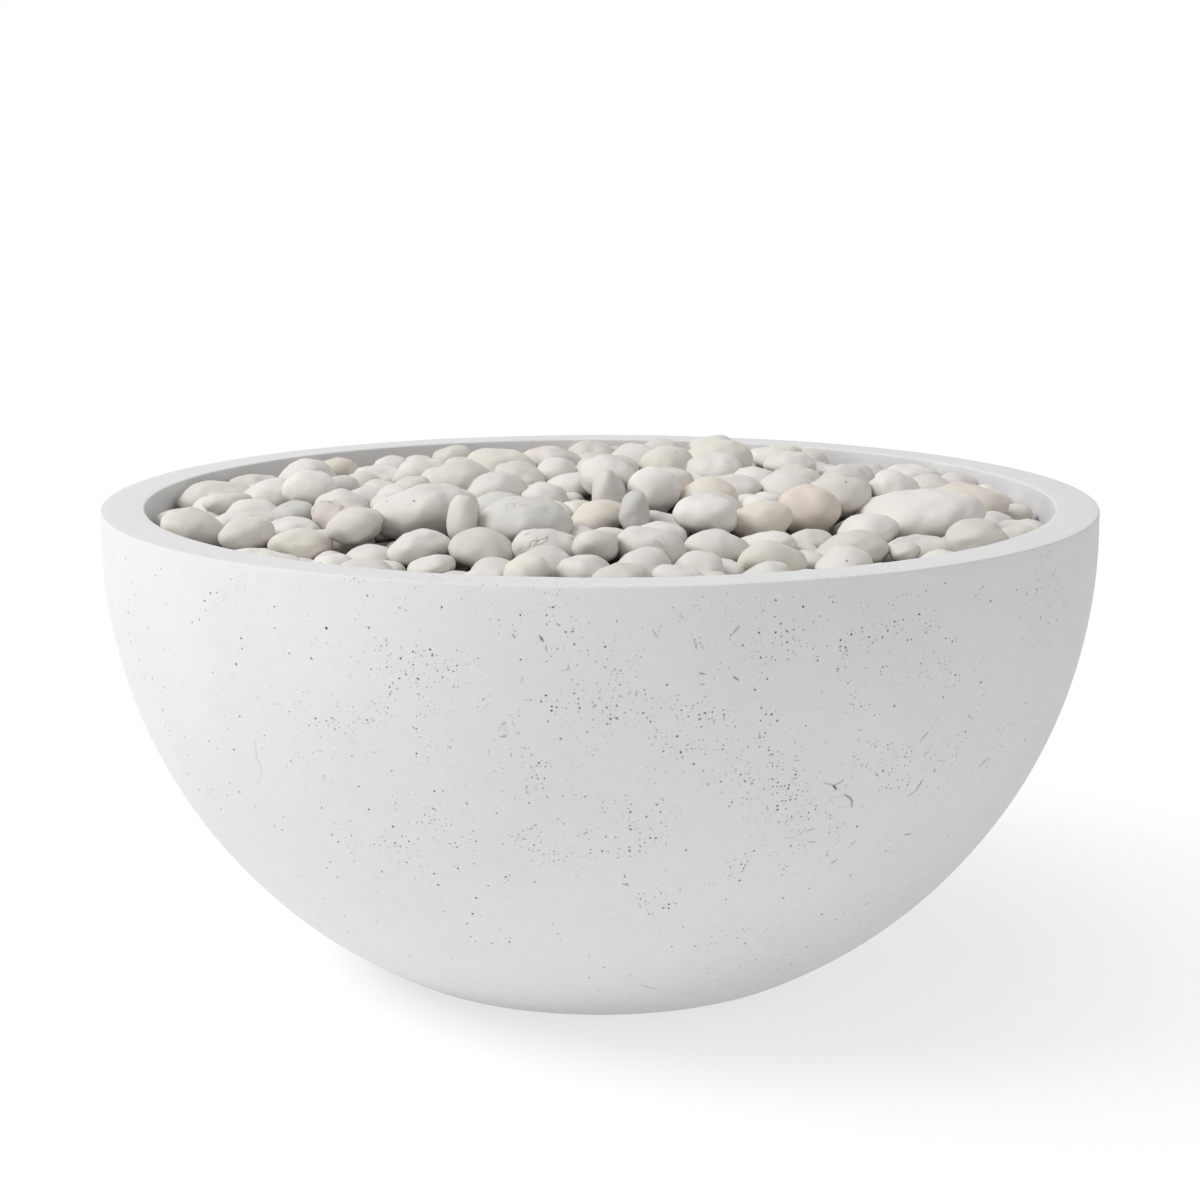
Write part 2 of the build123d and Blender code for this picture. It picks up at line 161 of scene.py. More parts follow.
# Marks in the skin: width and depth in millimetres, how much darker inside (dust and painted
# shade), and a path of turns from the front in degrees, + to the right, and heights in millimetres
MARKS = (
    (2.6, 0.5, 0.22, ((-39.4, 285), (-39.9, 271), (-39.7, 262), (-40.0, 253))),
    (4.2, 0.3, 0.08, ((-40.2, 252), (-41.4, 243))),
    (1.8, 0.8, 0.55, ((-9.6, 324), (-9.3, 326))),
    (1.8, 0.7, 0.50, ((-8.5, 327), (-8.4, 323))),
    (2.2, 0.9, 0.65, ((-9.8, 314), (-9.3, 315))),
    (1.6, 0.6, 0.35, ((-9.0, 333), (-8.6, 331))),
    (1.8, 0.7, 0.50, ((-8.2, 319), (-7.9, 317))),
    (8.0, 0.4, 0.08, ((-9.4, 325), (-9.1, 317))),
    (1.8, 0.7, 0.50, ((7.7, 413), (7.8, 410), (8.1, 409))),
    (1.9, 0.8, 0.60, ((5.0, 401), (5.3, 397), (5.5, 395))),
    (1.7, 0.7, 0.45, ((5.8, 404), (5.7, 399))),
    (2.6, 1.0, 0.80, ((-5.7, 396), (-5.4, 392))),
    (1.7, 0.6, 0.40, ((-5.1, 388), (-5.0, 384))),
    (2.2, 0.8, 0.65, ((9.6, 366), (10.1, 365))),
    (1.8, 0.7, 0.50, ((9.7, 357), (10.1, 357))),
    (2.4, 0.9, 0.65, ((13.0, 362), (13.5, 359))),
    (1.9, 0.8, 0.65, ((-8.3, 397), (-8.1, 394))),
    (1.8, 0.7, 0.50, ((-7.5, 363), (-7.5, 359))),
    (1.5, 0.6, 0.40, ((-3.0, 374), (-2.9, 368))),
    (1.8, 0.9, 0.60, ((24.0, 266), (25.4, 262), (26.4, 265))),
    (3.0, 1.3, 1.00, ((25.3, 262), (25.8, 258))),
    (1.6, 0.5, 0.30, ((25.6, 250), (27.0, 252))),
    (2.1, 1.0, 0.85, ((27.0, 252), (27.7, 249), (28.2, 245), (28.4, 239))),
    (1.8, 0.6, 0.35, ((36.0, 240), (37.1, 244))),
    (2.1, 1.0, 0.75, ((37.1, 244), (37.6, 253))),
    (1.8, 0.8, 0.55, ((35.6, 290), (36.5, 297))),
    (1.6, 0.6, 0.40, ((36.7, 276), (37.4, 281))),
    (2.0, 0.8, 0.50, ((47.4, 251), (49.0, 257))),
    (1.8, 0.8, 0.55, ((23.3, 222), (24.2, 224))),
    (1.8, 0.8, 0.55, ((23.9, 211), (25.1, 210))),
    (1.9, 0.8, 0.60, ((28.1, 185), (28.8, 189))),
    (2.0, 0.8, 0.55, ((38.1, 201), (39.2, 200))),
    (1.7, 0.7, 0.45, ((29.9, 200), (30.5, 206))),
    (2.2, 0.8, 0.50, ((9.1, 391), (9.3, 385))),
    (1.8, 0.7, 0.35, ((9.7, 389), (10.0, 384))),
    (2.0, 0.9, 0.55, ((12.8, 396), (13.4, 402))),
    (1.8, 0.7, 0.40, ((6.4, 62), (10.0, 52))),
    (1.8, 0.7, 0.35, ((14.5, 44), (19.2, 37))),
    (1.7, 0.7, 0.40, ((152.0, 300), (153.5, 306), (155.5, 305))),
    (2.2, 0.8, 0.40, ((-118.0, 240), (-116.8, 228), (-117.2, 219))),
    (1.9, 0.9, 0.55, ((95.0, 335), (96.6, 330))),
    (2.1, 0.9, 0.60, ((-162.0, 268), (-161.2, 261), (-160.0, 259))),
    (1.8, 0.8, 0.50, ((-140.0, 331), (-139.2, 326))),
    (2.2, 0.9, 0.60, ((176.0, 212), (177.2, 216))),
    (1.8, 0.8, 0.50, ((128.0, 181), (129.2, 176))),
    (2.0, 0.8, 0.50, ((-76.0, 306), (-75.4, 299))),
    (1.9, 0.8, 0.45, ((72.0, 158), (73.6, 163))),
)
MARK_CUTS = 7  # cuts across each face near a mark
MARK_RAG = 900  # waves per metre in a mark's ragged edge


def metres(name, description, default):
    """A setting that is a length."""
    return FloatProperty(
        name=name, description=description, default=default, unit="LENGTH"
    )


class BowlSettings(bpy.types.PropertyGroup):
    """The concrete casting and the small holes in its skin."""

    rim_width: metres("Rim width", "Width of the flat rim", 0.040)
    lip_height: metres("Lip height", "Upright part of the wall under the rim", 0.025)
    ledge_width: metres("Ledge width", "Ledge that carries the burner plate", 0.032)
    shoulder_drop: metres("Shoulder drop", "Upright wall under the ledge", 0.105)
    floor_thickness: metres("Floor thickness", "Concrete over the foot", 0.045)
    floor_radius: metres("Floor radius", "Flat floor inside the chamber", 0.195)
    outer_edge: metres("Outer edge", "Radius of the rim's outer edge", 0.0018)
    inner_edge: metres("Inner edge", "Radius of the rim's inner edge", 0.0022)
    row_step: metres("Row step", "Height of a row of the skin's faces", 0.0068)
    segments: IntProperty(name="Segments", description="Faces round the bowl", default=320)
    waviness: metres("Waviness", "How far the skin wanders from true", 0.0007)
    hole_count: IntProperty(
        name="Air holes", description="Most air holes cut in the skin", default=6000
    )
    hole_radius: metres("Air hole radius", "Radius of a large air hole", 0.00135)
    crowding: FloatProperty(
        name="Crowding",
        description="Thickness of air holes from which the skin's faces are halved",
        default=0.8,
    )
    mark_reach: metres("Mark reach", "Room round a mark in which the skin is made finer", 0.0065)
    colour: FloatVectorProperty(
        name="Concrete", description="Colour of the dry concrete",
        default=linear("#E0E0E0"), subtype="COLOR",
    )


class StoneSettings(bpy.types.PropertyGroup):
    """The tumbled stones and the pebbles between them."""

    smoothing: IntProperty(
        name="Smoothing", description="Subdivision levels of a stone", default=3
    )
    fullness: FloatProperty(
        name="Fullness", description="Width of a smoothed stone against its blank", default=1.0
    )
    lump_size: metres("Lump size", "Width of the lumps in a stone", 0.042)
    lump_depth: metres("Lump depth", "Depth of the lumps in a stone", 0.0065)
    dent_size: metres("Dent size", "Width of the dents in a stone", 0.021)
    dent_depth: metres("Dent depth", "Depth of the dents in a stone", 0.0032)
    pebble_gap: metres("Pebble gap", "Smallest gap that takes a pebble", 0.0062)
    pebble_tuck: metres("Pebble tuck", "How far a pebble reaches under its neighbours", 0.008)
    pebble_pitch: metres("Pebble pitch", "Spacing of the places tried for pebbles", 0.008)


class StageSettings(bpy.types.PropertyGroup):
    """The studio: floor, light and camera."""

    eye_distance: metres("Eye distance", "Camera in front of the bowl's axis", 2.302)
    eye_height: metres("Eye height", "Camera above the floor", 0.781)
    tilt: FloatProperty(
        name="Tilt", description="Camera's turn up from straight down",
        default=math.radians(79.06), subtype="ANGLE",
    )
    lens: FloatProperty(
        name="Lens", description="Focal length in millimetres", default=74.91
    )
    sky: FloatProperty(name="Sky", description="Strength of the even light", default=0.52)
    key: FloatProperty(
        name="Key", description="Power of the large lamp", default=515.0, subtype="POWER"
    )
    floor_glow: FloatProperty(
        name="Floor glow", description="Light from the lit sheet under the floor's skin",
        default=0.28,
    )
    floor_veil: FloatProperty(
        name="Floor veil", description="How far the floor's shadows are washed out to the eye",
        default=0.42,
    )
    floor_colour: FloatVectorProperty(
        name="Floor", description="Colour of the studio floor",
        default=linear("#E4E4E4"), subtype="COLOR",
    )


class FireBowlSettings(bpy.types.PropertyGroup):
    """All that a user would change."""

    bowl: PointerProperty(type=BowlSettings)
    stones: PointerProperty(type=StoneSettings)
    stage: PointerProperty(type=StageSettings)


def take(piece):
    """Make a piece the active object, and the only one selected."""
    bpy.ops.object.select_all(action="DESELECT")
    piece.select_set(True)
    bpy.context.view_layer.objects.active = piece


def merged_copy(node, name):
    """A copy of a node as a new piece, with its loose triangles joined."""
    piece = bpy.data.objects.new(name, frame["nodes"][node].data.copy())
    bpy.context.scene.collection.objects.link(piece)
    take(piece)
    bpy.ops.object.mode_set(mode="EDIT")
    bpy.ops.mesh.select_all(action="SELECT")
    bpy.ops.mesh.remove_doubles(threshold=MERGE_GAP)
    bpy.ops.object.mode_set(mode="OBJECT")
    return piece


def apply_modifier(piece, kind, **settings):
    """Add a modifier with its settings, and apply it."""
    take(piece)
    bpy.ops.object.modifier_add(type=kind)
    modifier = piece.modifiers[-1]
    for name, value in settings.items():
        setattr(modifier, name, value)
    bpy.ops.object.modifier_apply(modifier=modifier.name)


def displace(piece, texture, depth, level):
    """Move a skin by a texture, to a depth in metres. A level of 1 only moves it inwards."""
    apply_modifier(
        piece, "DISPLACE", texture=texture, texture_coords="LOCAL", mid_level=level, strength=depth
    )


def cloud_texture(name, size):
    """A soft lumpy texture, with lumps of a real size in metres."""
    texture = bpy.data.textures.new(name, "CLOUDS")
    texture.noise_scale = size
    texture.noise_depth = 2
    return texture


def add_node(tree, kind, inputs=(), **settings):
    """Add a shader node, with its settings, and with values or links for its inputs."""
    node = tree.nodes.new("ShaderNode" + kind)
    for name, value in settings.items():
        setattr(node, name, value)
    for name, value in dict(inputs).items():
        if isinstance(value, bpy.types.NodeSocket):
            tree.links.new(value, node.inputs[name])
        else:
            node.inputs[name].default_value = value
    return node


def new_material(name, colour, roughness, metallic=0.0):
    """A material with its shader's own values set, its tree, its shader and its coordinates."""
    material = bpy.data.materials.new(name)
    material.use_nodes = True
    material.diffuse_color = (*colour, 1)
    tree = material.node_tree
    shader = tree.nodes["Principled BSDF"]
    shader.inputs["Base Color"].default_value = (*colour, 1)
    shader.inputs["Roughness"].default_value = roughness
    shader.inputs["Metallic"].default_value = metallic
    place = add_node(tree, "TexCoord").outputs["Object"]
    return material, tree, shader, place


def per_metre(millimetres):
    """The scale of a pattern whose features are this many millimetres wide."""
    return 1000 / millimetres


def tinted(tree, colour, factor, amount):
    """A colour made lighter and darker by a pattern, which runs from 0 to 1."""
    gain = add_node(
        tree, "MapRange", {"Value": factor, "To Min": 1 - amount, "To Max": 1 + amount}
    )
    scaled = add_node(tree, "VectorMath", {"Scale": gain.outputs["Result"]}, operation="SCALE")
    if isinstance(colour, bpy.types.NodeSocket):
        tree.links.new(colour, scaled.inputs[0])
    else:
        scaled.inputs[0].default_value = colour
    return scaled.outputs["Vector"]


def stained_or_shaded(tree, colour, factor, stain_or_shade):
    """A colour giving way to a stain or painted shade, a hex colour, where a pattern rises to 1."""
    mixed = add_node(
        tree, "Mix", {0: factor, 6: colour, 7: (*linear(stain_or_shade), 1)}, data_type="RGBA"
    )
    return mixed.outputs[2]


def bumped(tree, shader, height, depth_mm, normal=None):
    """Raise the shader's surface by a pattern, to a real depth in millimetres."""
    bump = add_node(
        tree, "Bump", {"Height": height, "Distance": depth_mm / 1000, "Strength": 1.0}
    )
    if normal is not None:
        tree.links.new(normal, bump.inputs["Normal"])
    tree.links.new(bump.outputs["Normal"], shader.inputs["Normal"])
    return bump.outputs["Normal"]


def cast_concrete(colour):
    """Smooth off-white concrete as it leaves a mould: cloudy, matt, with pinholes in drifts."""
    material, tree, shader, place = new_material("cast_concrete", colour, 0.78)
    cloud = add_node(tree, "TexNoise", {"Vector": place, "Scale": per_metre(90), "Detail": 4})
    fine = add_node(tree, "TexNoise", {"Vector": place, "Scale": per_metre(9), "Detail": 5})
    # Pinholes between the modelled air holes are at most 2 mm across, and thickest where those are.
    # Their reach is a share of the pattern's 4 mm.
    drift = add_node(tree, "Attribute", attribute_name="busyness")
    pins = add_node(tree, "TexVoronoi", {"Vector": place, "Scale": per_metre(4), "Randomness": 1.0})
    size = add_node(
        tree, "MapRange",
        {"Value": drift.outputs["Fac"], "From Min": 0.0, "From Max": 0.8,
         "To Min": 0.04, "To Max": 0.24},
    )
    pick = add_node(tree, "SeparateColor", {"Color": pins.outputs["Color"]})
    share = add_node(
        tree, "MapRange", {"Value": pick.outputs["Red"], "To Min": 0.3, "To Max": 1.0}
    )
    reach = add_node(
        tree, "Math", {0: size.outputs["Result"], 1: share.outputs["Result"]},
        operation="MULTIPLY",
    )
    inside = add_node(
        tree, "Math", {0: pins.outputs["Distance"], 1: reach.outputs["Value"]},
        operation="LESS_THAN",
    )
    # The modelled holes and marks hold dust and painted shade, as their attribute says
    hole = add_node(tree, "Attribute", attribute_name="hole_dust_and_shade")
    clouded = tinted(tree, colour, cloud.outputs["Fac"], 0.035)
    grained = tinted(tree, clouded, fine.outputs["Fac"], 0.03)
    # The pinholes are painted darker: painted shade inside them
    depth = add_node(tree, "Math", {0: inside.outputs["Value"], 1: 0.42}, operation="MULTIPLY")
    shade = add_node(
        tree, "Math", {0: depth.outputs["Value"], 1: hole.outputs["Fac"]}, operation="MAXIMUM"
    )
    dust_and_shade_colour = stained_or_shaded(tree, grained, shade.outputs["Value"], "#605E5C")
    tree.links.new(dust_and_shade_colour, shader.inputs["Base Color"])
    first = bumped(tree, shader, fine.outputs["Fac"], 0.15)
    sunk = add_node(tree, "Math", {0: 1.0, 1: inside.outputs["Value"]}, operation="SUBTRACT")
    bumped(tree, shader, sunk.outputs["Value"], 0.4, first)
    return material


def tumbled_stone():
    """Limestone rounded in a drum: a matt skin, faint clouds, and a few veins and chips."""
    material, tree, shader, place = new_material("tumbled_limestone", linear("#DCD9D4"), 0.66)
    paint = add_node(tree, "Attribute", attribute_name="tint")
    tint, veining = paint.outputs["Color"], paint.outputs["Alpha"]
    # Each tint shifts the patterns, so that no two neighbours share one
    shift = add_node(tree, "VectorMath", {0: tint, 1: (7.0, 11.0, 13.0)}, operation="MULTIPLY")
    moved = add_node(tree, "VectorMath", {0: place, 1: shift.outputs["Vector"]}, operation="ADD")
    spot = moved.outputs["Vector"]
    cloud = add_node(tree, "TexNoise", {"Vector": spot, "Scale": per_metre(30), "Detail": 3})
    grain = add_node(tree, "TexNoise", {"Vector": spot, "Scale": per_metre(1.6), "Detail": 4})
    # A vein is the thin line where a pattern crosses its middle
    vein = add_node(
        tree, "TexNoise",
        {"Vector": spot, "Scale": per_metre(40), "Detail": 6, "Distortion": 1.2},
    )
    line = add_node(tree, "Math", {0: vein.outputs["Fac"], 1: 0.5}, operation="SUBTRACT")
    width = add_node(tree, "Math", {0: line.outputs["Value"]}, operation="ABSOLUTE")
    thread = add_node(
        tree, "MapRange",
        {"Value": width.outputs["Value"], "From Min": 0.0, "From Max": 0.014,
         "To Min": 1.0, "To Max": 0.0},
    )
    # It runs a short way, strongly on the few veined stones and hardly at all on the others
    patch = add_node(tree, "TexNoise", {"Vector": spot, "Scale": per_metre(24), "Detail": 1})
    part = add_node(
        tree, "MapRange", {"Value": patch.outputs["Fac"], "From Min": 0.50, "From Max": 0.56}
    )
    strength = add_node(tree, "MapRange", {"Value": veining, "To Min": 0.08, "To Max": 0.7})
    reach = add_node(
        tree, "Math", {0: part.outputs["Result"], 1: strength.outputs["Result"]},
        operation="MULTIPLY",
    )
    crack = add_node(
        tree, "Math", {0: thread.outputs["Result"], 1: reach.outputs["Value"]},
        operation="MULTIPLY",
    )
    clouded = tinted(tree, tint, cloud.outputs["Fac"], 0.06)
    grained = tinted(tree, clouded, grain.outputs["Fac"], 0.03)
    veined = stained_or_shaded(tree, grained, crack.outputs["Value"], "#9C9186")
    # A chip of 1 to 3 mm in about one cell of seven, painted darker as shade in its pit
    pits = add_node(tree, "TexVoronoi", {"Vector": spot, "Scale": per_metre(13)})
    chip = add_node(
        tree, "MapRange",
        {"Value": pits.outputs["Distance"], "From Min": 0.05, "From Max": 0.10,
         "To Min": 1.0, "To Max": 0.0},
    )
    rare = add_node(tree, "SeparateColor", {"Color": pits.outputs["Color"]})
    kept = add_node(tree, "Math", {0: rare.outputs["Green"], 1: 0.86}, operation="GREATER_THAN")
    chosen = add_node(
        tree, "Math", {0: chip.outputs["Result"], 1: kept.outputs["Value"]},
        operation="MULTIPLY",
    )
    half = add_node(tree, "Math", {0: chosen.outputs["Value"], 1: 0.7}, operation="MULTIPLY")
    chip_shaded = stained_or_shaded(tree, veined, half.outputs["Value"], "#7F776E")
    tree.links.new(chip_shaded, shader.inputs["Base Color"])
    first = bumped(tree, shader, grain.outputs["Fac"], 0.12)
    opened = add_node(
        tree, "Math", {0: chosen.outputs["Value"], 1: crack.outputs["Value"]},
        operation="MAXIMUM",
    )
    sunk = add_node(tree, "Math", {0: 1.0, 1: opened.outputs["Value"]}, operation="SUBTRACT")
    bumped(tree, shader, sunk.outputs["Value"], 0.8, first)
    return material


def speckled(name, colour, roughness, metallic, grain_mm, variation, depth_mm, stretch=(1, 1, 1)):
    """A finish whose grain changes its colour, its roughness and its surface together."""
    material, tree, shader, place = new_material(name, colour, roughness, metallic)
    mapped = add_node(tree, "Mapping", {"Vector": place, "Scale": stretch}).outputs["Vector"]
    noisy = add_node(
        tree, "TexNoise", {"Vector": mapped, "Scale": per_metre(grain_mm), "Detail": 5}
    )
    grain = noisy.outputs["Fac"]
    tree.links.new(tinted(tree, colour, grain, variation), shader.inputs["Base Color"])
    rough = add_node(
        tree, "MapRange", {"Value": grain, "To Min": roughness * 0.8, "To Max": roughness * 1.2}
    )
    tree.links.new(rough.outputs["Result"], shader.inputs["Roughness"])
    bumped(tree, shader, grain, depth_mm)
    return material


def hardware_materials():
    """Finishes of the pieces inside the bowl, by node."""
    # Mill-finish stainless: a fine grain drawn out along X by the rolls
    rolled = (0.04, 1, 1)
    sheet = speckled("rolled_stainless", linear("#BFBDB8"), 0.34, 1.0, 1.2, 0.06, 0.02, rolled)
    # Welded stainless tube, browned a little by heat
    tube = speckled("welded_stainless", linear("#B3ACA2"), 0.38, 1.0, 6, 0.14, 0.03)
    # Turned brass, dulled by handling
    brass = speckled("turned_brass", linear("#C9A45C"), 0.36, 1.0, 3, 0.08, 0.02)
    # Bright zinc over steel, with the faint spangle of the bath
    zinc = speckled("zinc_plated_steel", linear("#C4C6C8"), 0.30, 1.0, 4, 0.07, 0.01)
    # Dipped vinyl: soft and slightly uneven
    vinyl = speckled("dipped_vinyl", linear("#D9A012"), 0.48, 0.0, 2.5, 0.04, 0.05)
    # Moulded black rubber, dusty from the floor
    rubber = speckled("moulded_rubber", linear("#2B2B2B"), 0.82, 0.0, 1.5, 0.12, 0.08)
    return {
        "burner_plate": sheet,
        "star_burner": tube,
        "burner_jets": brass,
        "burner_locknut": zinc,
        "valve_body": brass,
        "valve_stem": zinc,
        "valve_lever": zinc,
        "lever_sleeve": vinyl,
        "lever_nut": zinc,
        "foot_pads": rubber,
    }


def finish_piece(piece, body, slot, material, *nodes):
    """Dress a finished piece, and tie it to its body and the nodes that it stands for; its slot is
    not used.
    """
    piece.data.materials.clear()
    piece.data.materials.append(material)
    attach(piece, body)
    if nodes:
        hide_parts(*nodes)


def run(points, corner, step):
    """Carry a section on to a corner in even steps."""
    (r0, z0), (r1, z1) = points[-1], corner
    count = max(1, round(math.hypot(r1 - r0, z1 - z0) / step))
    for k in range(1, count + 1):
        points.append((r0 + (r1 - r0) * k / count, z0 + (z1 - z0) * k / count))


def bend(points, centre, radius, start, end, step):
    """Carry a section round an arc, from one angle to another, in even steps."""
    count = max(2, round(abs(end - start) * radius / step))
    for k in range(count + 1):
        angle = start + (end - start) * k / count
        points.append((centre[0] + radius * math.cos(angle), centre[1] + radius * math.sin(angle)))


def bowl_section(settings):
    """The casting's section: up the outside, over the rim, and down to the supply hole."""
    outside, rim_z, foot_z = BOWL_HIGH.x, BOWL_HIGH.z, BOWL_LOW.z
    inside = outside - settings.rim_width
    chamber = inside - settings.ledge_width
    ledge_z = PLATE_LOW.z
    shoulder_z = ledge_z - settings.shoulder_drop
    sphere_z = rim_z - settings.lip_height
    floor_z = foot_z + settings.floor_thickness
    hole = SUPPLY_HOLE["dims"]["r_mm"] / 1000
    foot_angle = -math.asin((sphere_z - foot_z - FOOT_EDGE) / outside)
    foot_radius = math.sqrt(outside**2 - (sphere_z - foot_z) ** 2)
    outer, inner, step = settings.outer_edge, settings.inner_edge, settings.row_step
    points = [(foot_radius - FOOT_EDGE / 3, foot_z)]
    bend(points, (0, sphere_z), outside, foot_angle, 0, step)
    run(points, (outside, rim_z - outer), step)
    bend(points, (outside - outer, rim_z - outer), outer, 0, math.pi / 2, EDGE_STEP)
    run(points, (inside + inner, rim_z), step)
    bend(points, (inside + inner, rim_z - inner), inner, math.pi / 2, math.pi, EDGE_STEP)
    run(points, (inside, ledge_z), step)
    # Nobody looks closely at the inside, so its faces are longer
    run(points, (chamber, ledge_z), step * 2)
    run(points, (chamber, shoulder_z), step * 4)
    run(points, (settings.floor_radius, floor_z), step * 4)
    run(points, (hole, floor_z), step * 4)
    run(points, (hole, foot_z), step * 2)
    run(points, points[0], step * 3)
    kept = [points[0]]
    for point in points[1:]:
        if math.dist(point, kept[-1]) > EDGE_STEP / 4:
            kept.append(point)
    return kept


def fix_order(mesh):
    """Put a mesh's faces in a fixed order, each from its first corner, so all runs are the same."""
    faces = []
    for face in mesh.polygons:
        corners = list(face.vertices)
        start = corners.index(min(corners))
        faces.append(corners[start:] + corners[:start])
    points = [vert.co.copy() for vert in mesh.vertices]
    mesh.clear_geometry()
    mesh.from_pydata(points, [], sorted(faces))


def lathe(name, section, segments):
    """Turn a closed section round the bowl's axis."""
    bpy.ops.object.select_all(action="DESELECT")
    bpy.ops.mesh.primitive_plane_add(size=0.001)
    piece = bpy.context.object
    piece.name = piece.data.name = name
    bpy.ops.object.mode_set(mode="EDIT")
    bpy.ops.mesh.select_mode(type="VERT")
    bpy.ops.mesh.select_all(action="SELECT")
    bpy.ops.mesh.merge(type="CENTER")
    bpy.ops.mesh.select_all(action="SELECT")
    bpy.ops.transform.translate(value=(section[0][0], 0, section[0][1]))
    for (r0, z0), (r1, z1) in zip(section, section[1:] + section[:1]):
        move = {"value": (r1 - r0, 0, z1 - z0)}
        bpy.ops.mesh.extrude_vertices_move(TRANSFORM_OT_translate=move)
    bpy.ops.mesh.select_all(action="SELECT")
    bpy.ops.mesh.spin(steps=segments, angle=2 * math.pi, center=(0, 0, 0), axis=(0, 0, 1))
    bpy.ops.mesh.select_all(action="SELECT")
    bpy.ops.mesh.remove_doubles(threshold=MERGE_GAP)
    bpy.ops.mesh.normals_make_consistent(inside=False)
    bpy.ops.object.mode_set(mode="OBJECT")
    fix_order(piece.data)
    return piece


def skin_axes(normal):
    """Directions across and up the skin, square to its normal."""
    across = normal.cross(Vector((0, 0, 1))).normalized()
    return across, normal.cross(across)


def shortest_edge(edges):
    """Length of the shortest of some edges."""
    return min(edge.calc_length() for edge in edges)


def open_hole(skin, face, layer, radius, rng):
    """Open one air hole inside a four-sided face: a cup, or a pointed pit if it is small."""
    corners = [loop.vert for loop in face.loops]
    centre, normal = face.calc_center_median(), face.normal.copy()
    room = shortest_edge(face.edges) / 2
    radius = min(radius, room * HOLE_FILL)
    cup = radius > CUP_RADIUS
    sides = 8 if cup else 4
    across, upward = skin_axes(normal)
    slack = (room - radius * HOLE_RIM) * math.sqrt(rng.random())
    heading = rng.uniform(0, 2 * math.pi)
    centre += (across * math.cos(heading) + upward * math.sin(heading)) * slack
    first = corners[0].co - centre
    start = math.atan2(first.dot(upward), first.dot(across)) - (math.pi / sides if cup else 0)
    # How much darker the hole's floor is, from dust and painted shade
    depth, dust_and_shade = radius * rng.uniform(0.7, 1.6), rng.uniform(0.25, 1.0)
    mouth = []
    for k in range(sides):
        angle = start + 2 * math.pi * k / sides
        spoke = across * math.cos(angle) + upward * math.sin(angle)
        mouth.append(skin.verts.new(centre + spoke * radius * rng.uniform(0.7, 1.25)))
    skin.faces.remove(face)
    step = sides // 4
    for k in range(4):
        last, following = mouth[step * (k + 1) - 1], mouth[step * (k + 1) % sides]
        if cup:
            skin.faces.new((corners[k], last, mouth[2 * k]))
        skin.faces.new((corners[k], corners[(k + 1) % 4], following, last))
    if not cup:
        tip = skin.verts.new(centre - normal * depth)
        tip[layer] = dust_and_shade
        for k in range(sides):
            skin.faces.new((mouth[k], mouth[(k + 1) % sides], tip))
        return
    floor = [skin.verts.new(centre.lerp(vert.co, 0.7) - normal * depth) for vert in mouth]
    for k in range(sides):
        floor[k][layer] = dust_and_shade
        after = (k + 1) % sides
        skin.faces.new((mouth[k], mouth[after], floor[after], floor[k]))
    skin.faces.new(floor)


def wall_point(turn, height):
    """The point of the outside wall at a turn from the front and a height."""
    sphere_z = BOWL_HIGH.z - bpy.context.scene.fire_bowl.bowl.lip_height
    turn, z = math.radians(turn), height / 1000
    radius = math.sqrt(BOWL_HIGH.x**2 - min(0.0, z - sphere_z) ** 2)
    return Vector((radius * math.sin(turn), -radius * math.cos(turn), z))


def nearest_on_path(point, path):
    """Distance from a point to a path, and how far along the path it is, from 0 to 1."""
    found = []
    for k, (start, end) in enumerate(zip(path, path[1:])):
        along = (point - start).dot(end - start) / (end - start).length_squared
        along = min(1.0, max(0.0, along))
        away = (point - start.lerp(end, along)).length
        found.append((away, (k + along) / (len(path) - 1)))
    return min(found)


def refine(skin, faces, cuts):
    """Divide whole faces of the skin into an even grid."""
    skin.verts.index_update()
    chosen = {edge for face in faces for edge in face.edges}
    edges = sorted(chosen, key=lambda edge: sorted(vert.index for vert in edge.verts))
    bmesh.ops.subdivide_edges(skin, edges=edges, cuts=cuts, use_grid_fill=True)
    skin.normal_update()


def cut_marks(skin, layer, reach):
    """Scrape the marks into the skin, which is made finer round all of them first."""
    marks = []
    for width, depth, dust_and_shade, places in MARKS:
        path = [wall_point(*place) for place in places]
        middle = sum(path, Vector()) / len(path)
        span = max((point - middle).length for point in path) + width / 1000
        marks.append((path, middle, span, width / 2000, depth / 1000, dust_and_shade))
    near = []
    for face in skin.faces:
        centre = face.calc_center_median()
        for path, middle, span, half, _, _ in marks:
            if (centre - middle).length > span + reach:
                continue
            if nearest_on_path(centre, path)[0] < half + reach:
                near.append(face)
                break
    refine(skin, near, MARK_CUTS)
    for vert in skin.verts:
        for path, middle, span, half, deep, dust_and_shade in marks:
            if (vert.co - middle).length > span:
                continue
            away, along = nearest_on_path(vert.co, path)
            ragged = half * (0.75 + 0.5 * abs(noise.noise(vert.co * MARK_RAG)))
            if away < ragged:
                # Deepest along its middle line, and shallower towards both ends
                fall = (1 - (away / ragged) ** 2) * (0.55 + 0.45 * math.sin(math.pi * along))
                vert.co -= vert.normal * deep * fall
                # Darker the deeper it is, from dust and painted shade
                vert[layer] = max(vert[layer], dust_and_shade * min(1.0, fall * 1.4))


def busyness(point):
    """How thick the air holes are at a point: in drifts, most on the front, fewer elsewhere."""
    side = math.cos(math.atan2(point.y, point.x) - BUSY_TURN)
    share = max(SIDE_SHARE, side**2 if side > 0 else BACK_SHARE * side**2)
    band = math.exp(-0.5 * ((point.z - BUSY_HEIGHT) / BUSY_SPREAD) ** 2)
    drift = noise.noise(point / DRIFT_SIZE) + CLUSTER_GAIN * noise.noise(point / CLUSTER_SIZE)
    thickness = BASE_SHARE + (1 - BASE_SHARE) * share * band
    return thickness * max(0.0, DRIFT_LEVEL + DRIFT_GAIN * drift)


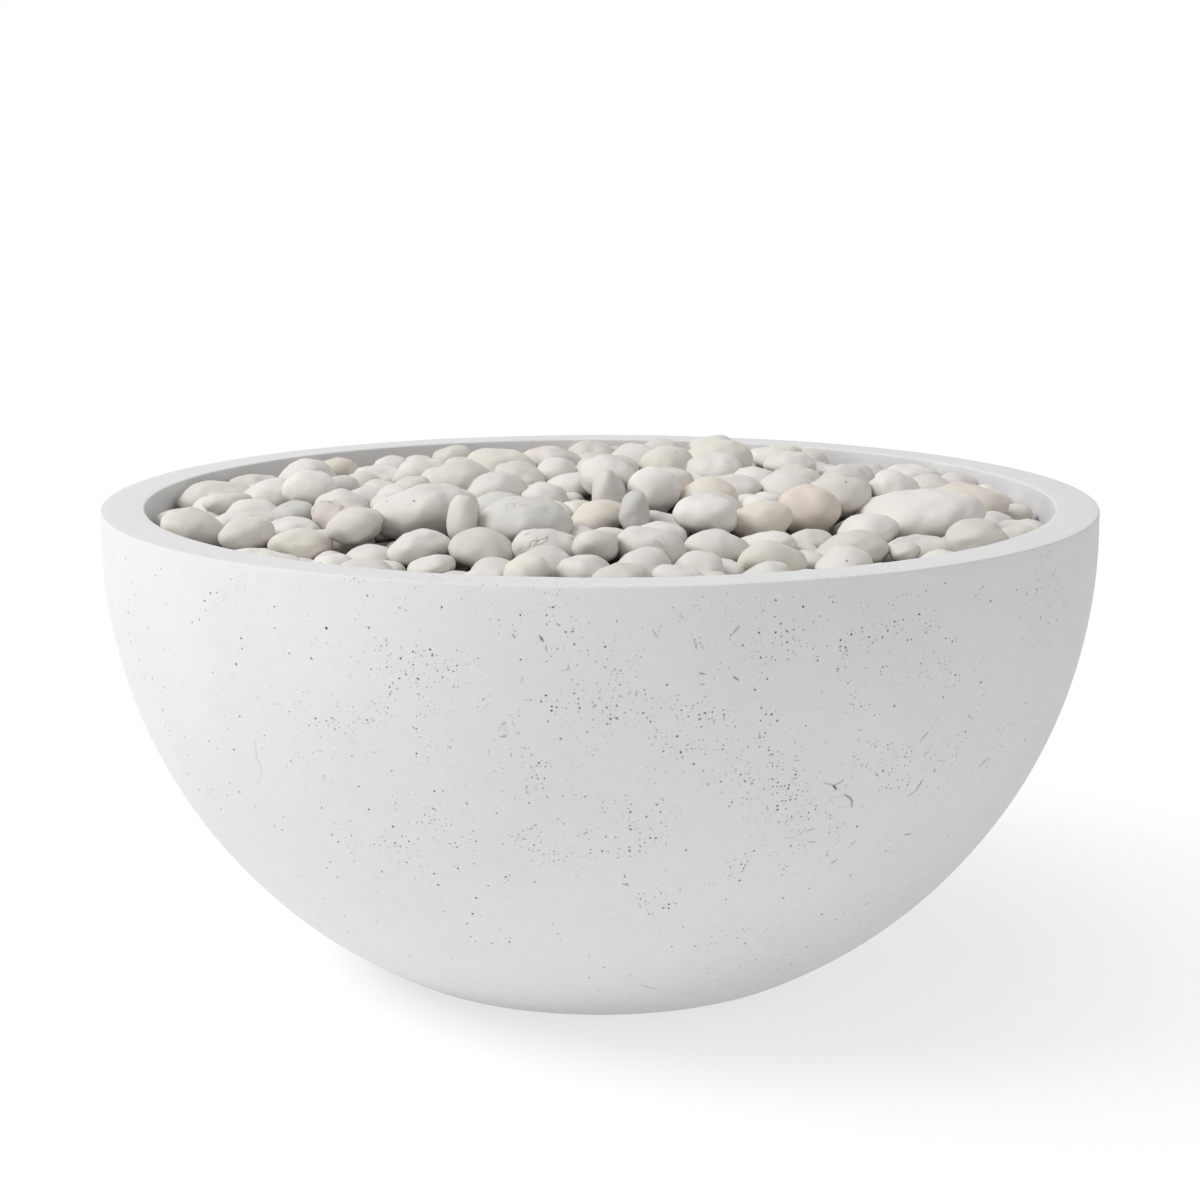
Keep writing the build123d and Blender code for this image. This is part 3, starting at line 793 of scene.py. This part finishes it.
def wall_faces(skin, shortest):
    """The four-sided faces of the outside wall whose edges are longer than this."""
    low, high = BOWL_LOW.z + WALL_MARGIN, BOWL_HIGH.z - WALL_MARGIN
    found = []
    for face in skin.faces:
        centre = face.calc_center_median()
        outward = centre.x * face.normal.x + centre.y * face.normal.y > 0
        outer = low < centre.z < high and centre.xy.length > PLATE_HIGH.x / 2
        if outward and outer and len(face.verts) == 4 and shortest_edge(face.edges) > shortest:
            found.append(face)
    return found


def free_corners(skin):
    """The corners of the wall's faces that may move along the skin, in their order."""
    corners = {vert for face in wall_faces(skin, FREE_EDGE) for vert in face.verts}
    return [vert for vert in skin.verts if vert in corners]


def bend_rows(skin):
    """Bend the wall's rows and columns of faces along the skin, so the holes stand in no rows."""
    noise.seed_set(SWAY_SEED)
    for vert in free_corners(skin):
        drift = SWAY * noise.noise_vector(vert.co / SWAY_SIZE)
        vert.co += drift - vert.normal * drift.dot(vert.normal)
    skin.normal_update()


def scatter_corners(skin, rng):
    """Move each corner of the wall's faces a little along the skin, to the same end."""
    for vert in free_corners(skin):
        room = CORNER_PLAY * shortest_edge(vert.link_edges)
        across, upward = skin_axes(vert.normal)
        heading, slide = rng.uniform(0, 2 * math.pi), room * math.sqrt(rng.random())
        vert.co += (across * math.cos(heading) + upward * math.sin(heading)) * slide


def open_air_holes(skin, layer, settings):
    """Air holes in drifts, on a skin whose faces are halved where the holes crowd together."""
    rng = random.Random(HOLE_SEED)
    crowded = [
        face for face in wall_faces(skin, HALVED_EDGE)
        if busyness(face.calc_center_median()) > settings.crowding
    ]
    refine(skin, crowded, 1)
    scatter_corners(skin, rng)
    walls = wall_faces(skin, HOLED_EDGE)
    rng.shuffle(walls)
    made = 0
    for face in walls:
        if made >= settings.hole_count:
            break
        if rng.random() < min(TOP_CHANCE, HOLE_CHANCE * busyness(face.calc_center_median())):
            # Most holes are small
            share = SMALLEST_HOLE + (1 - SMALLEST_HOLE) * rng.random() ** 3
            open_hole(skin, face, layer, settings.hole_radius * share, rng)
            made += 1


def work_skin(piece, settings):
    """Give the casting's skin its marks and its air holes."""
    skin = bmesh.new()
    skin.from_mesh(piece.data)
    # How much darker each hole and mark is inside, from dust and painted shade
    layer = skin.verts.layers.float.new("hole_dust_and_shade")
    bend_rows(skin)
    cut_marks(skin, layer, settings.mark_reach)
    open_air_holes(skin, layer, settings)
    busy = skin.verts.layers.float.new("busyness")
    for vert in skin.verts:
        vert[busy] = busyness(vert.co)
    skin.normal_update()
    skin.to_mesh(piece.data)
    skin.free()


class FIREBOWL_OT_bowl(bpy.types.Operator):
    """Cast the concrete bowl, with soft edges, a slightly wavy skin and air holes"""

    bl_idname = "firebowl.bowl"
    bl_label = "Concrete bowl"

    def execute(self, context):
        settings = context.scene.fire_bowl.bowl
        piece = lathe("cast_bowl", bowl_section(settings), settings.segments)
        # The skin only moves into the concrete, so the bowl keeps its outside size
        displace(piece, cloud_texture("wander", WANDER_SIZE), settings.waviness, 1.0)
        work_skin(piece, settings)
        take(piece)
        bpy.ops.object.shade_smooth_by_angle(angle=SMOOTH_ANGLE)
        concrete = cast_concrete(tuple(settings.colour))
        finish_piece(piece, BODY, "concrete", concrete, "concrete_bowl")
        return {"FINISHED"}


def label_islands(mesh):
    """Number the separate shells of a mesh, one number for each vertex."""
    links = [[] for _ in mesh.vertices]
    for edge in mesh.edges:
        a, b = edge.vertices
        links[a].append(b)
        links[b].append(a)
    labels = np.full(len(links), -1)
    count = 0
    for start in range(len(links)):
        if labels[start] >= 0:
            continue
        labels[start] = count
        waiting = [start]
        while waiting:
            for other in links[waiting.pop()]:
                if labels[other] < 0:
                    labels[other] = count
                    waiting.append(other)
        count += 1
    return labels


def read_points(mesh):
    """The vertices of a mesh as an array."""
    points = np.empty(len(mesh.vertices) * 3, np.float32)
    mesh.vertices.foreach_get("co", points)
    return points.reshape(-1, 3)


def write_points(mesh, points):
    """Put an array back as the vertices of a mesh."""
    mesh.vertices.foreach_set("co", points.astype(np.float32).ravel())
    mesh.update()


def pick_tint(rng, x=None, y=None):
    """A stone's colour and veining: a noted stone's own, or a colour drawn from the box."""
    if x is not None:
        near, tint, veined = min(
            (math.hypot(x - nx, y - ny), tint, veined) for nx, ny, tint, veined in NOTED_STONES
        )
        if near < NOTED_REACH:
            return (*linear(STONE_TINTS[tint][0]), veined)
    names = list(STONE_TINTS)
    name = rng.choices(names, [STONE_TINTS[n][1] for n in names])[0]
    shade = rng.uniform(0.93, 1.05)
    return (*(shade * c for c in linear(STONE_TINTS[name][0])), 0.0)


def paint_tints(mesh, labels, tints):
    """Give each stone of a mesh its own tint, with its veining as the fourth value."""
    layer = mesh.attributes.new("tint", "FLOAT_COLOR", "POINT")
    layer.data.foreach_set("color", np.array(tints, np.float32)[labels].ravel())


class FIREBOWL_OT_stones(bpy.types.Operator):
    """Round the stones of each group, from their many-sided blanks"""

    bl_idname = "firebowl.stones"
    bl_label = "Tumbled stones"

    def execute(self, context):
        settings = context.scene.fire_bowl.stones
        levels = settings.smoothing
        material = tumbled_stone()
        lumps = cloud_texture("lumps", settings.lump_size)
        dents = cloud_texture("dents", settings.dent_size)
        rng = random.Random(STONE_SEED)
        for node in STONE_NODES:
            piece = merged_copy(node, "tumbled_" + node)
            mesh = piece.data
            blank_labels, blank_points = label_islands(mesh), read_points(mesh)
            count = blank_labels.max() + 1
            mark = mesh.attributes.new("stone", "FLOAT", "POINT")
            mark.data.foreach_set("value", blank_labels.astype(np.float32))
            apply_modifier(piece, "SUBSURF", levels=levels, render_levels=levels)
            mesh = piece.data
            values = np.empty(len(mesh.vertices), np.float32)
            mesh.attributes["stone"].data.foreach_get("value", values)
            labels, points = np.rint(values).astype(int), read_points(mesh)
            # Smoothing shrinks a stone, so each is brought back to its blank's width
            tints = []
            for k in range(count):
                blank, stone = blank_points[blank_labels == k], points[labels == k]
                gain = (np.ptp(blank, axis=0) / np.ptp(stone, axis=0)).mean() * settings.fullness
                centre = stone.mean(axis=0)
                points[labels == k] = centre + (stone - centre) * gain
                tints.append(pick_tint(rng, *centre[:2]))
            write_points(mesh, points)
            mesh.attributes.remove(mesh.attributes["stone"])
            paint_tints(mesh, labels, tints)
            displace(piece, lumps, settings.lump_depth, 0.5)
            displace(piece, dents, settings.dent_depth, 0.5)
            # No stone ends higher than its blank, so the bed keeps its height
            mesh = piece.data
            points = read_points(mesh)
            for k in range(count):
                rise = points[labels == k, 2].max() - blank_points[blank_labels == k, 2].max()
                points[labels == k, 2] -= max(0.0, rise)
            write_points(mesh, points)
            bpy.ops.object.shade_smooth()
            finish_piece(piece, BODY, "tumbled_stone", material, node)
        return {"FINISHED"}


def blank_stones():
    """Centre and reach in plan of every stone in the frame."""
    found = []
    for node in STONE_NODES:
        holder = merged_copy(node, "holder")
        labels, points = label_islands(holder.data), read_points(holder.data)
        for k in range(labels.max() + 1):
            stone = points[labels == k]
            size = np.ptp(stone, axis=0)
            found.append((*stone.mean(axis=0)[:2], (size[0] + size[1]) / 4))
        bpy.data.objects.remove(holder)
    return np.array(found)


class FIREBOWL_OT_pebbles(bpy.types.Operator):
    """Drop small pebbles in the gaps between the stones, low in the bed"""

    bl_idname = "firebowl.pebbles"
    bl_label = "Pebbles"

    def execute(self, context):
        settings = context.scene.fire_bowl.stones
        rng = random.Random(PEBBLE_SEED)
        stones = blank_stones()
        fill = frame["nodes"]["lava_rock_fill"].data
        ground = BVHTree.FromPolygons(
            [v.co for v in fill.vertices], [tuple(p.vertices) for p in fill.polygons]
        )
        edge = BOWL_HIGH.x - context.scene.fire_bowl.bowl.rim_width - WALL_GAP
        tries = int((edge / settings.pebble_pitch) ** 2 * math.pi)
        spots = []
        for k in range(tries):
            radius, turn = edge * math.sqrt((k + 0.5) / tries), k * GOLDEN_TURN
            x, y = radius * math.cos(turn), radius * math.sin(turn)
            room = (np.hypot(stones[:, 0] - x, stones[:, 1] - y) - stones[:, 2]).min()
            spots.append((min(room, edge - radius), x, y))
        bpy.ops.object.select_all(action="DESELECT")
        bpy.ops.mesh.primitive_ico_sphere_add(subdivisions=3, radius=1.0)
        blank = context.object
        pebbles, laid = [], []
        for room, x, y in sorted(spots, reverse=True):
            if room < settings.pebble_gap:
                break
            if any(
                math.hypot(x - px, y - py) < (room + reach) * PEBBLE_CLOSENESS
                for px, py, reach in laid
            ):
                continue
            reach = min(room + settings.pebble_tuck, PEBBLE_REACH)
            laid.append((x, y, reach - settings.pebble_tuck / 2))
            surface = ground.ray_cast(Vector((x, y, 1)), Vector((0, 0, -1)))[0]
            ground_z = surface.z if surface else FILL_LOW.z
            length, width = reach * rng.uniform(0.95, 1.15), reach * rng.uniform(0.75, 0.95)
            shape = Matrix.Diagonal((length, width, reach * PEBBLE_FLATNESS, 1))
            turn = Matrix.Rotation(rng.uniform(0, math.pi), 4, "Z")
            lean = Matrix.Rotation(rng.uniform(-PEBBLE_LEAN, PEBBLE_LEAN), 4, "X")
            place = Matrix.Translation((x, y, ground_z + reach * PEBBLE_LIFT))
            pebble = bpy.data.objects.new("pebble", blank.data.copy())
            pebble.data.transform(place @ turn @ lean @ shape)
            context.scene.collection.objects.link(pebble)
            pebbles.append(pebble)
        bpy.data.objects.remove(blank)
        take(pebbles[0])
        for pebble in pebbles:
            pebble.select_set(True)
        bpy.ops.object.join()
        piece = context.object
        piece.name = piece.data.name = "bed_pebbles"
        labels = label_islands(piece.data)
        paint_tints(piece.data, labels, [pick_tint(rng) for _ in pebbles])
        displace(piece, cloud_texture("small_lumps", PEBBLE_LUMP), PEBBLE_LUMP_DEPTH, 0.5)
        bpy.ops.object.shade_smooth()
        finish_piece(piece, BODY, "tumbled_stone", bpy.data.materials["tumbled_limestone"])
        return {"FINISHED"}


class FIREBOWL_OT_lava(bpy.types.Operator):
    """Break up the lava rock's mound into crushed rock"""

    bl_idname = "firebowl.lava"
    bl_label = "Lava rock"

    def execute(self, context):
        piece = merged_copy("lava_rock_fill", "crushed_lava")
        apply_modifier(piece, "REMESH", mode="VOXEL", voxel_size=LAVA_GRID)
        rocks = bpy.data.textures.new("crushed", "VORONOI")
        rocks.noise_scale = LAVA_LUMP
        displace(piece, rocks, LAVA_DEPTH, 1.0)
        # Crushed lava rock: rough, dark and dusty
        dark = speckled("crushed_lava_rock", linear("#5A5450"), 0.9, 0.0, 4, 0.25, 0.6)
        finish_piece(piece, BODY, "lava_rock", dark, "lava_rock_fill")
        return {"FINISHED"}


class FIREBOWL_OT_hardware(bpy.types.Operator):
    """Give the plate, burner, valve and pads their finishes"""

    bl_idname = "firebowl.hardware"
    bl_label = "Hardware finishes"

    def execute(self, context):
        for name, material in hardware_materials().items():
            node = frame["nodes"][name]
            if not node.material_slots:
                node.data.materials.append(None)
            for slot in node.material_slots:
                slot.material = material
        return {"FINISHED"}


def seen_directly(tree):
    """1 for what the eye sees straight, in a shine or through glass, and 0 for light that falls."""
    path = add_node(tree, "LightPath")
    first = add_node(
        tree, "Math", {0: path.outputs["Is Camera Ray"], 1: path.outputs["Is Glossy Ray"]},
        operation="MAXIMUM",
    )
    return add_node(
        tree, "Math", {0: first.outputs["Value"], 1: path.outputs["Is Transmission Ray"]},
        operation="MAXIMUM",
    ).outputs["Value"]


def studio_floor(settings):
    """Matt white studio floor: it glows a little, keeps the shadow near, and is white far off."""
    colour = tuple(settings.floor_colour)
    material, tree, shader, place = new_material("studio_floor", colour, 0.95)
    shader.inputs["Specular IOR Level"].default_value = 0.0
    shader.inputs["Emission Color"].default_value = (1, 1, 1, 1)
    shader.inputs["Emission Strength"].default_value = settings.floor_glow
    away = add_node(tree, "VectorMath", {0: place}, operation="LENGTH")
    fade = add_node(
        tree, "MapRange",
        {"Value": away.outputs["Value"], "From Min": SHADOW_NEAR, "From Max": SHADOW_FAR,
         "To Min": settings.floor_veil, "To Max": 1.0},
        interpolation_type="SMOOTHSTEP",
    )
    white = add_node(
        tree, "Math", {0: fade.outputs["Result"], 1: seen_directly(tree)}, operation="MULTIPLY"
    )
    glow = add_node(tree, "Emission", {"Color": (1, 1, 1, 1), "Strength": 1.0})
    mixed = add_node(
        tree, "MixShader",
        {0: white.outputs["Value"], 1: shader.outputs["BSDF"], 2: glow.outputs["Emission"]},
    )
    tree.links.new(mixed.outputs["Shader"], tree.nodes["Material Output"].inputs["Surface"])
    return material


class FIREBOWL_OT_stage(bpy.types.Operator):
    """Set the plain white studio: floor, even light, one large lamp and the camera"""

    bl_idname = "firebowl.stage"
    bl_label = "Studio"

    def execute(self, context):
        settings = context.scene.fire_bowl.stage
        bpy.ops.object.select_all(action="DESELECT")
        # A hair under the pads, so that their feet and the floor don't share a plane
        bpy.ops.mesh.primitive_circle_add(
            vertices=96, radius=FLOOR_RADIUS, fill_type="NGON", location=(0, 0, -FLOOR_DROP)
        )
        floor = context.object
        floor.name = "studio_floor"
        floor.data.materials.append(studio_floor(settings))

        world = bpy.data.worlds.new("white_studio")
        world.use_nodes = True
        context.scene.world = world
        sky = world.node_tree
        strength = add_node(
            sky, "MapRange", {"Value": seen_directly(sky), "To Min": settings.sky, "To Max": 1.0}
        )
        backdrop = sky.nodes["Background"]
        backdrop.inputs["Color"].default_value = (1, 1, 1, 1)
        sky.links.new(strength.outputs["Result"], backdrop.inputs["Strength"])

        stand = LAMP_AIM + LAMP_OFFSET
        bpy.ops.object.light_add(type="AREA", location=stand)
        lamp = context.object
        lamp.name = "large_lamp"
        lamp.rotation_euler = (-LAMP_OFFSET).to_track_quat("-Z", "Y").to_euler()
        lamp.data.shape = "DISK"
        lamp.data.size = LAMP_WIDTH
        lamp.data.energy = settings.key

        eye = (0, -settings.eye_distance, settings.eye_height)
        bpy.ops.object.camera_add(location=eye, rotation=(settings.tilt, 0, 0))
        camera = context.object
        camera.data.lens = settings.lens
        camera.data.sensor_width = SENSOR_MM
        camera.data.clip_end = FAR_CLIP
        context.scene.camera = camera
        context.scene.view_settings.view_transform = "Standard"
        return {"FINISHED"}


OPERATORS = (
    FIREBOWL_OT_bowl,
    FIREBOWL_OT_stones,
    FIREBOWL_OT_pebbles,
    FIREBOWL_OT_lava,
    FIREBOWL_OT_hardware,
    FIREBOWL_OT_stage,
)


class FIREBOWL_PT_panel(bpy.types.Panel):
    """Lists the bowl's pieces in the sidebar"""

    bl_label = "Fire bowl"
    bl_space_type = "VIEW_3D"
    bl_region_type = "UI"
    bl_category = "Fire bowl"

    def draw(self, context):
        for operator in OPERATORS:
            self.layout.operator(operator.bl_idname)
        settings = context.scene.fire_bowl
        for group in (settings.bowl, settings.stones, settings.stage):
            for name in group.__annotations__:
                self.layout.prop(group, name)


CLASSES = (
    BowlSettings,
    StoneSettings,
    StageSettings,
    FireBowlSettings,
    *OPERATORS,
    FIREBOWL_PT_panel,
)


def register():
    for kind in CLASSES:
        bpy.utils.register_class(kind)
    bpy.types.Scene.fire_bowl = PointerProperty(type=FireBowlSettings)


def unregister():
    del bpy.types.Scene.fire_bowl
    for kind in reversed(CLASSES):
        bpy.utils.unregister_class(kind)


def main():
    register()
    bpy.ops.firebowl.bowl()
    bpy.ops.firebowl.stones()
    bpy.ops.firebowl.pebbles()
    bpy.ops.firebowl.lava()
    bpy.ops.firebowl.hardware()
    bpy.ops.firebowl.stage()


if __name__ == "__main__":
    main()
